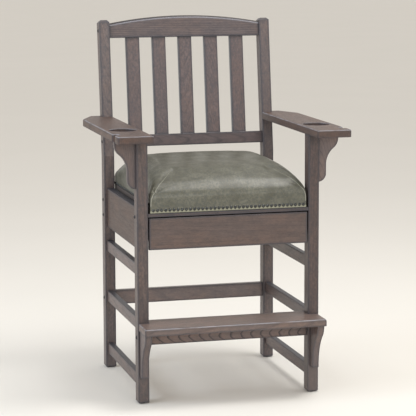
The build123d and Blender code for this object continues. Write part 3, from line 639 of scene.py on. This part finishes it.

# %% [markdown]
# The colour is built up in layers: two tones in wide clouds, then grey flecks, pale specks of wax and the
# pale fold. A Voronoi texture draws cells, so it makes the pebbled grain, and noise makes the creases. Both
# only tilt the light, through a Bump node, because they are too fine to be shapes.

# %% Grey-olive leather
def olive_leather(name, paler=0.0):
    """The leather's finish. A share of paler brings it towards the pale tone of a pleat."""
    finish, bench, shader = new_finish(name)
    place = bench.place()
    clouds = bench.cloud(bench.stretch(place, (22.0, 26.0, 20.0)), 1.0, 5.0, 0.70, 0.3)
    flecks = bench.cloud(place, 150.0, 3.0, 0.65, 0.3)
    specks = bench.cloud(place, 420.0, 2.0)
    colour = bench.blend(bench.between(clouds, 0.36, 0.64), *olive_ground)
    colour = bench.blend(bench.between(flecks, 0.42, 0.62, 0.0, 0.66), colour, grey_fleck)
    colour = bench.blend(bench.between(specks, 0.55, 0.75, 0.0, 0.35), colour, wax_speck)
    colour = bench.blend(bench.sum("MULTIPLY", pale_fold(bench, place), 0.7), colour, fold_tone)
    bench.fill(shader.inputs["Base Color"], bench.blend(paler, colour, pleat_tone))
    pebbles = bench.put("TexVoronoi", {"Vector": place, "Scale": 780.0}, feature="SMOOTH_F1")
    creases = bench.cloud(bench.stretch(place, (60.0, 60.0, 60.0)), 1.0, 5.0, 0.65, 0.8)
    grain = bench.sum("ADD", bench.sum("MULTIPLY", pebbles, -0.6), bench.sum("MULTIPLY", creases, 1.1))
    relief = bench.put("Bump", {"Height": grain, "Strength": 0.33, "Distance": 0.0009})
    bench.fill(shader.inputs["Normal"], relief)
    bench.fill(shader.inputs["Roughness"], bench.between(clouds, 0.3, 0.7, 0.42, 0.36))
    shader.inputs["Specular IOR Level"].default_value = 0.42
    shader.inputs["Coat Weight"].default_value = 0.09
    shader.inputs["Coat Roughness"].default_value = 0.32
    return finish


seat_leather = olive_leather("olive_leather")
pleat_leather = olive_leather("olive_leather_fold", paler=0.55)
print("leather finished")

# %% [markdown]
# ## The shape of the seat
# The seat is a slab of foam with leather pulled over it and nailed down. The foam's top is nearly level, the
# front edge is tight and round, and the sides turn over in a wide curve. The leather covers the front down
# to the rail, but stops higher at the sides, where the edge of the board shows.
# The best start is a regular grid of four-sided faces, because it bends evenly. So the cushion is drawn as a
# box with a fine grid, and each grid point is lifted to the height that the curve gives at its place.

# %% Heights over the cushion
seat_low, seat_high = (Vector(corner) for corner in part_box("seat_cushion"))
board_low, board_high = (Vector(corner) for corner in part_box("seat_board"))
room = 0.0008  # the grid starts this much inside the cushion's box, so that the leather can fill out
half_seat = seat_high.x - room
front, back = seat_low.y + room, seat_high.y - room
skirt = board_low.z + 0.0245  # the leather's lower edge at the sides and back
settling_room = 0.007  # the foam pushes the crown up by about this much
crown_height = seat_high.z - skirt - settling_room
shoulder = 0.078  # the widest radius of the sides' curve
arch_height = 0.004  # how much the middle of a row is higher than where its sides start to turn

# Each row: share of the depth, share of the crown's height, share of the shoulder's radius
crown_shares = (
    (0.0, 0.22, 0.24), (0.005, 0.34, 0.26), (0.013, 0.44, 0.30), (0.03, 0.55, 0.37), (0.063, 0.68, 0.52),
    (0.143, 0.825, 0.74), (0.287, 0.945, 0.92), (0.50, 1.0, 1.0), (0.717, 0.985, 1.0), (0.833, 0.915, 0.93),
    (0.932, 0.77, 0.76), (0.975, 0.64, 0.60), (1.0, 0.50, 0.40))


def along_crown(share, column):
    """One column of the crown's table at a share of the depth, with a smooth curve between its rows."""
    rows = crown_shares
    for i in range(len(rows) - 1):
        if share <= rows[i + 1][0]:
            break
    before, after = rows[max(i - 1, 0)], rows[min(i + 2, len(rows) - 1)]
    a, b = rows[i], rows[i + 1]
    width = b[0] - a[0]
    t = min(max((share - a[0]) / width, 0.0), 1.0)
    slope_a = (b[column] - before[column]) / max(b[0] - before[0], 1e-6) * width
    slope_b = (after[column] - a[column]) / max(after[0] - a[0], 1e-6) * width
    square, cube = t * t, t * t * t
    return ((2 * cube - 3 * square + 1) * a[column] + (cube - 2 * square + t) * slope_a
            + (3 * square - 2 * cube) * b[column] + (cube - square) * slope_b)


def crown_at(x, y):
    """The height of the leather over one place."""
    share = (y - front) / (back - front)
    top = skirt + crown_height * along_crown(share, 1)
    radius = shoulder * along_crown(share, 2)
    inside = half_seat - radius
    if abs(x) <= inside:
        return top + arch_height * (1 - (abs(x) / inside) ** 2)
    over = min(abs(x) - inside, radius)
    return top - radius + math.sqrt(max(radius * radius - over * over, 0.0))


print("crown in the middle:", round(crown_at(0, (front + back) / 2), 4), "m")

# %% [markdown]
# The grid's lines lie closer together near the edges, where the surface turns. A cosine does that: equal
# steps of an angle give short steps at both ends of its swing.

# %% Lines of the grid
def closer_at_ends(low, high, count, amount=0.72):
    """Places from low to high that lie closer together at both ends."""
    places = []
    for i in range(count + 1):
        even = i / count
        swung = (1 - math.cos(math.pi * even)) / 2
        places.append(low + (high - low) * (even * (1 - amount) + swung * amount))
    return places


def skirt_bottom(y):
    """The leather's lower edge: down to the rail in front, higher along the sides and back."""
    rail_gap, turn_start, turn_length = 0.0006, 0.004, 0.010
    t = min(max((y - front - turn_start) / turn_length, 0.0), 1.0)
    return (board_low.z + rail_gap) * (1 - t) + skirt * t


def wall_rings(mesh, grid, edge, bottoms, bands):
    """Rings of points from a grid's edge down to the given heights."""
    rings = [[grid[i][j] for i, j in edge]]
    for band in range(1, bands + 1):
        t = band / bands
        rings.append([])
        for top_point, bottom in zip(rings[0], bottoms):
            x, y, z = top_point.co
            rings[-1].append(mesh.verts.new((x, y, z + (bottom - z) * t)))
    return rings


def close_band(mesh, upper, lower, facing_in=False):
    """A closed band of four-sided faces between two rings."""
    count = len(upper)
    for k in range(count):
        n = (k + 1) % count
        if facing_in:
            mesh.faces.new((upper[k], upper[n], lower[n], lower[k]))
        else:
            mesh.faces.new((upper[k], lower[k], lower[n], upper[n]))


print("eight steps from 0 to 1:", [round(v, 2) for v in closer_at_ends(0, 1, 8)])

# %% [markdown]
# The leather has an outside and an inside, because it wraps the board. Both are a grid on top with walls
# below, and a narrow band joins the two walls along the lower rim, so the mesh is closed.

# %% Draw the cushion as a fine box
leather_rim = 0.00045  # how much higher the inside wall ends than the outside one
inner_gap = Vector((0.0004, 0.0006, 0.0006))  # between the leather's inside and the board


def cushion_grid(columns=84, rows=84, bands=16):
    """The leather's outside, its folded lower rim and its inside round the board, as one closed mesh."""
    mesh = bmesh.new()
    xs = closer_at_ends(-half_seat, half_seat, columns)
    ys = closer_at_ends(front, back, rows, 0.80)
    inner_low, inner_high = board_low - inner_gap, board_high + inner_gap
    inner_xs = closer_at_ends(inner_low.x, inner_high.x, columns)
    inner_ys = closer_at_ends(inner_low.y, inner_high.y, rows, 0.80)
    edge = [(i, 0) for i in range(columns + 1)] + [(columns, j) for j in range(1, rows + 1)]
    edge += [(i, rows) for i in range(columns - 1, -1, -1)] + [(0, j) for j in range(rows - 1, 0, -1)]
    top = [[mesh.verts.new((x, y, crown_at(x, y))) for y in ys] for x in xs]
    under = [[mesh.verts.new((x, y, inner_high.z)) for y in inner_ys] for x in inner_xs]
    rim = [skirt_bottom(ys[j]) for _, j in edge]
    outside = wall_rings(mesh, top, edge, rim, bands)
    inside = wall_rings(mesh, under, edge, [height + leather_rim for height in rim], bands)
    for i in range(columns):
        for j in range(rows):
            mesh.faces.new((top[i][j], top[i + 1][j], top[i + 1][j + 1], top[i][j + 1]))
            mesh.faces.new((under[i][j], under[i][j + 1], under[i + 1][j + 1], under[i + 1][j]))
    for upper, lower in zip(outside, outside[1:]):
        close_band(mesh, upper, lower)
    for upper, lower in zip(inside, inside[1:]):
        close_band(mesh, upper, lower, facing_in=True)
    close_band(mesh, outside[-1], inside[-1])
    bmesh.ops.recalc_face_normals(mesh, faces=mesh.faces)
    made = bpy.data.meshes.new("seat_leather")
    mesh.to_mesh(made)
    mesh.free()
    return made


cushion = bpy.data.objects.new("seat_leather", cushion_grid())
bpy.context.scene.collection.objects.link(cushion)
print("cushion grid:", len(cushion.data.vertices), "points")

# %% [markdown]
# ## Let the leather fill out
# A drawn curve is too perfect. Real leather is held by its nails and pushed out by the foam, so it bulges
# most where it is furthest from an edge that holds it. Blender's cloth can do that: the lower edge and the
# inside are pinned, a pressure pushes from within, and twenty steps let it settle. A cap keeps every point
# near its place, so the seat stays clear of the posts.

# %% Inflate with cloth pressure
settling_steps = 20


def settle(piece, held, pressure=4.0, cap=0.006):
    """Runs cloth with the held points pinned, then keeps the result within a cap."""
    pins = piece.vertex_groups.new(name="held")
    for index, weight in held.items():
        pins.add([index], weight, "REPLACE")
    start = [v.co.copy() for v in piece.data.vertices]
    cloth = piece.modifiers.new("foam pressure", "CLOTH")
    cloth.settings.quality = 6
    cloth.settings.mass = 0.35
    cloth.settings.use_pressure = True
    cloth.settings.uniform_pressure_force = pressure
    cloth.settings.effector_weights.gravity = 0.0
    cloth.settings.tension_stiffness = 25
    cloth.settings.compression_stiffness = 25
    cloth.settings.bending_stiffness = 3.0
    cloth.settings.vertex_group_mass = "held"
    cloth.collision_settings.use_collision = False
    for step in range(1, settling_steps + 1):
        bpy.context.scene.frame_set(step)
    settled = piece.evaluated_get(bpy.context.evaluated_depsgraph_get()).data
    ends = [v.co.copy() for v in settled.vertices]
    piece.modifiers.remove(cloth)
    largest = 0.0
    for vertex, was, now in zip(piece.data.vertices, start, ends):
        move = now - was
        if move.length > cap:
            move *= cap / move.length
        largest = max(largest, move.length)
        vertex.co = was + move
    piece.data.update()
    bpy.context.scene.frame_set(1)
    return largest


print("the cloth gets", settling_steps, "steps to settle")

# %% [markdown]
# The nails hold the leather over a strip of 16 mm, so that strip is pinned as well. Above it, the hold eases
# off smoothly over 75 mm. Afterwards the sides and ends are kept within a millimetre or two of the measured
# cushion.

# %% Pin the leather and settle it
nailed_strip, easing = 0.016, 0.075
proud_side, proud_front, proud_back = 0.002, 0.001, 0.002


def held_points(piece):
    """How firmly each point is held: fully inside and along the nails, then less up to the crown."""
    near_board = 0.001
    weights = {}
    for vertex in piece.data.vertices:
        x, y, z = vertex.co
        inside = (abs(x) < board_high.x + near_board and z < board_high.z + near_board
                  and board_low.y - near_board < y < board_high.y + near_board)
        rise = min(max((z - board_low.z - nailed_strip) / easing, 0.0), 1.0)
        weights[vertex.index] = 1.0 if inside else 1.0 - rise * rise * (3 - 2 * rise)
    return weights


print("leather moved by up to", round(settle(cushion, held_points(cushion)) * 1000, 1), "mm")
for vertex in cushion.data.vertices:
    vertex.co.x = min(max(vertex.co.x, seat_low.x - proud_side), seat_high.x + proud_side)
    vertex.co.y = min(max(vertex.co.y, seat_low.y - proud_front), seat_high.y + proud_back)
cushion.data.polygons.foreach_set("use_smooth", [True] * len(cushion.data.polygons))
smoother = cushion.modifiers.new("one subdivision", "SUBSURF")
smoother.levels = smoother.render_levels = 1
cushion.data.materials.append(seat_leather)
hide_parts("seat_cushion")
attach(cushion, "frame")

# %% [markdown]
# ## Pleats at the front corners
# A flat hide can't turn over a corner without spare leather, so the upholsterer folds it under in a pleat.
# It shows as one thin pale line that runs from the corner up over the cushion. It is made as a narrow ribbon
# with a rounded back, laid on the leather and thinner towards its upper end. Each of its points is dropped
# onto the nearest place of the seat, so that it lies on the surface whatever the cloth did.

# %% Find the pleats' lines on the leather
# Each place: how far in from the cushion's side, how far behind its front, and its height over the floor
pleat_route = (
    (0.0022, 0.000, 0.650), (0.0032, 0.000, 0.672), (0.0082, 0.001, 0.687), (0.0162, 0.005, 0.700),
    (0.0332, 0.019, 0.719), (0.0532, 0.043, 0.733), (0.0742, 0.073, 0.744), (0.0892, 0.096, 0.750))
steps_between = 6


def pleat_line(side, surface):
    """Places along the route on the leather, and the way that the leather faces there."""
    found = []
    for start, end in zip(pleat_route, pleat_route[1:]):
        for step in range(steps_between):
            inward, behind, height = Vector(start).lerp(Vector(end), step / steps_between)
            guess = Vector(((half_seat - inward) * side, front + behind, height))
            spot, normal, _, _ = surface.find_nearest(guess)
            found.append((spot, normal))
    return found


print("pleats run from", pleat_route[0][2], "to", pleat_route[-1][2], "m over the floor")

# %% [markdown]
# At each place of that line, a half round of points stands over the leather, and faces join it to the next
# one. The ribbon sinks a little into the leather, so that no gap shows under it.

# %% Lay the corner pleats
pleat_half_width, pleat_rise, pleat_sink = 0.0017, 0.0011, 0.0003
upper_loss = 0.6  # the share of its width and rise that a pleat loses by its upper end
round_steps = 6


def pleat(name, side, surface):
    """A thin ribbon along the route, laid on the leather. The side is -1 or 1."""
    line = pleat_line(side, surface)
    last = len(line) - 1
    mesh = bmesh.new()
    rings = []
    for i, (spot, normal) in enumerate(line):
        ahead = line[min(i + 1, last)][0] - line[max(i - 1, 0)][0]
        sideways = ahead.cross(normal).normalized()
        thin = 1.0 - upper_loss * i / last
        rings.append([])
        for step in range(round_steps + 1):
            angle = math.pi * step / round_steps
            rise = math.sin(angle) * pleat_rise * thin - pleat_sink
            aside = math.cos(angle) * pleat_half_width * thin
            rings[-1].append(mesh.verts.new(spot + sideways * aside + normal * rise))
    for a, b in zip(rings, rings[1:]):
        for k in range(round_steps):
            mesh.faces.new((a[k], a[k + 1], b[k + 1], b[k]))
        mesh.faces.new((a[0], b[0], b[-1], a[-1]))
    mesh.faces.new(rings[0])
    mesh.faces.new(list(reversed(rings[-1])))
    bmesh.ops.recalc_face_normals(mesh, faces=mesh.faces)
    made = bpy.data.meshes.new(name)
    mesh.to_mesh(made)
    mesh.free()
    made.polygons.foreach_set("use_smooth", [True] * len(made.polygons))
    ribbon = bpy.data.objects.new(name, made)
    bpy.context.scene.collection.objects.link(ribbon)
    ribbon.data.materials.append(pleat_leather)
    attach(ribbon, "frame")
    return ribbon


seat_surface = BVHTree.FromObject(cushion, bpy.context.evaluated_depsgraph_get())
for side, word in ((-1, "left"), (1, "right")):
    laid = pleat("corner_pleat_" + word, side, seat_surface)
    print(laid.name, len(laid.data.vertices), "points")

# %% [markdown]
# ## Studio
# The floor is plain, pale and wide enough to fill the view. Two very faint tones keep it from looking like
# paper.

# %% Lay the floor
floor_reach = 40.0
floor_tones = ((0.768, 0.750, 0.708, 1), (0.776, 0.757, 0.715, 1))


def studio_floor():
    """One large face with a dull finish."""
    finish, bench, shader = new_finish("pale_floor")
    soft = bench.cloud(bench.place(), 1.3, 2.0)
    bench.fill(shader.inputs["Base Color"], bench.blend(bench.between(soft, 0.3, 0.7), *floor_tones))
    shader.inputs["Roughness"].default_value = 0.85
    shader.inputs["Specular IOR Level"].default_value = 0.2
    corners = [(x * floor_reach, y * floor_reach, 0) for x, y in ((-1, -1), (1, -1), (1, 1), (-1, 1))]
    made = bpy.data.meshes.new("studio_floor")
    made.from_pydata(corners, [], [(0, 1, 2, 3)])
    floor = bpy.data.objects.new("studio_floor", made)
    bpy.context.scene.collection.objects.link(floor)
    floor.data.materials.append(finish)


studio_floor()
print("floor:", 2 * floor_reach, "m wide")

# %% [markdown]
# A large soft light overhead gives the band of shine along the cushion's front. A cool one high on the left
# and one lower down on the same side shape the posts and light the frame's left faces, as a window would. One
# low in front opens the shadows under the seat, and a weak one on the right keeps that side from going flat.
# The lamps hang two metres up or more, because a lamp close to the floor burns a white patch into it.
# They are hidden from the camera, so that they don't show in views from other sides.

# %% Hang the lights
# Each lamp: its place, what it is aimed at, its width in metres, its power in watts, and its tint
lamps = {
    "overhead_light": ((1.2, -0.6, 3.7), (0, 0, 0.6), 1.3, 61.0, (1.0, 0.98, 0.95)),
    "left_window_light": ((-4.2, -0.4, 3.0), (0, 0, 0.7), 1.5, 62.0, (0.78, 0.88, 1.0)),
    "low_front_light": ((0.3, -5.4, 2.1), (0, 0, 0.25), 1.6, 45.0, (1.0, 0.99, 0.97)),
    "low_left_light": ((-4.2, -1.6, 2.0), (0.2, 0, 0.3), 1.2, 31.0, (0.80, 0.89, 1.0)),
    "right_window_light": ((3.6, -1.2, 2.0), (0, 0, 0.7), 2.0, 16.0, (0.93, 0.96, 1.0)),
}


def soft_light(name, place, aim, size, power, tint):
    """A square lamp that the camera doesn't see."""
    lamp = bpy.data.lights.new(name, "AREA")
    lamp.shape = "SQUARE"
    lamp.size = size
    lamp.energy = power
    lamp.color = tint
    holder = bpy.data.objects.new(name, lamp)
    bpy.context.scene.collection.objects.link(holder)
    holder.visible_camera = False
    holder.location = place
    holder.rotation_mode = "QUATERNION"
    holder.rotation_quaternion = (Vector(aim) - Vector(place)).to_track_quat("-Z", "Y")


for name, facts in lamps.items():
    soft_light(name, *facts)
print("lamps:", len(lamps))

# %% [markdown]
# The world is an even, slightly warm glow that fills the shadows. What the camera and the shiny surfaces see
# of it has its own strength, so that the background's tone can be set without changing the light.

# %% Fill the shadows
glow_on_chair, glow_seen = 0.83, 0.80
world = bpy.data.worlds.new("studio_world")
bpy.context.scene.world = world
world.use_nodes = True
world.node_tree.nodes.clear()
sky = Bench(world.node_tree)
rays = world.node_tree.nodes.new("ShaderNodeLightPath").outputs
shiny = sky.sum("MAXIMUM", rays["Is Glossy Ray"], rays["Is Transmission Ray"])
seen = sky.sum("MAXIMUM", rays["Is Camera Ray"], shiny)
strength = sky.between(seen, 0.0, 1.0, glow_on_chair, glow_seen)
glow = sky.put("Background", {"Color": (1.0, 0.96, 0.91, 1), "Strength": strength})
world_output = world.node_tree.nodes.new("ShaderNodeOutputWorld")
world.node_tree.links.new(glow, world_output.inputs[0])
print("world strength:", glow_on_chair, "on the chair,", glow_seen, "as seen")

# %% [markdown]

# %% [markdown]
